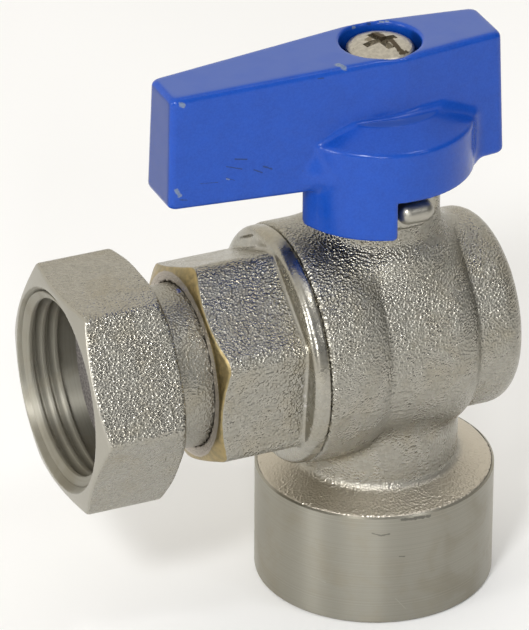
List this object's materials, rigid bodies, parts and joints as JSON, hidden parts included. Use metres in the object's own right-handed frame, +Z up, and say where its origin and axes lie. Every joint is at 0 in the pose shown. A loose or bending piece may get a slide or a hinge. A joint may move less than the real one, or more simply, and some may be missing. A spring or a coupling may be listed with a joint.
{
  "type": "angle ball valve",
  "caption": "Nickel-plated brass angle ball valve with a blue wing handle, a swivel union nut on its inlet and a female-threaded outlet underneath.",
  "frame": {"origin": "centre of the outlet's mouth, on the face of the turned collar that the valve stands on", "axes": "+Z up along the stem axis, from the outlet to the handle; +X along the inlet axis from the union nut to the body's closed end; +Y completes the right-handed frame"},
  "size_m": [0.0634, 0.0346, 0.0809],
  "materials": {
    "forged_nickel": "nickel plate over bead-blasted forged brass, satin with a fine sparkle",
    "turned_nickel": "nickel plate over turned brass, fine turning lines",
    "nut_nickel": "nickel plate, turned face and bore, bead-blasted flats",
    "bare_brass": "bare turned brass, slightly dulled",
    "ball_chrome": "polished chrome plate",
    "blue_enamel": "semi-gloss blue enamel, chipped and scuffed",
    "screw_steel": "zinc-plated steel, dull and stained",
    "ptfe_white": "plain white fluoropolymer",
    "seal_rubber": "matt black rubber",
    "gasket_fibre": "pressed grey fibre sheet"
  },
  "bodies": {
    "valve_body": {"body": "forged_nickel", "end_connector": "forged_nickel", "connector_ring": "seal_rubber", "tailpiece": "turned_nickel", "tailpiece_ring": "seal_rubber", "union_gasket": "gasket_fibre", "inlet_seat": "ptfe_white", "blind_seat": "ptfe_white"},
    "swivel_nut": {"union_nut": "nut_nickel"},
    "turning_set": {"handle": "blue_enamel", "spring_washer": "screw_steel", "handle_screw": "screw_steel", "stem": "bare_brass", "stem_washer": "ptfe_white", "lower_stem_ring": "seal_rubber", "upper_stem_ring": "seal_rubber", "ball": "ball_chrome"}
  },
  "joints": [
    {"name": "handle_turn", "type": "hinge", "parent": "valve_body", "child": "turning_set", "pos_m": [0, 0, 0.0379], "axis": [0, 0, -1], "range_deg": [0, 90]},
    {"name": "nut_swivel", "type": "hinge", "parent": "valve_body", "child": "swivel_nut", "pos_m": [-0.04, 0, 0.0379], "axis": [1, 0, 0], "continuous": true}
  ]
}
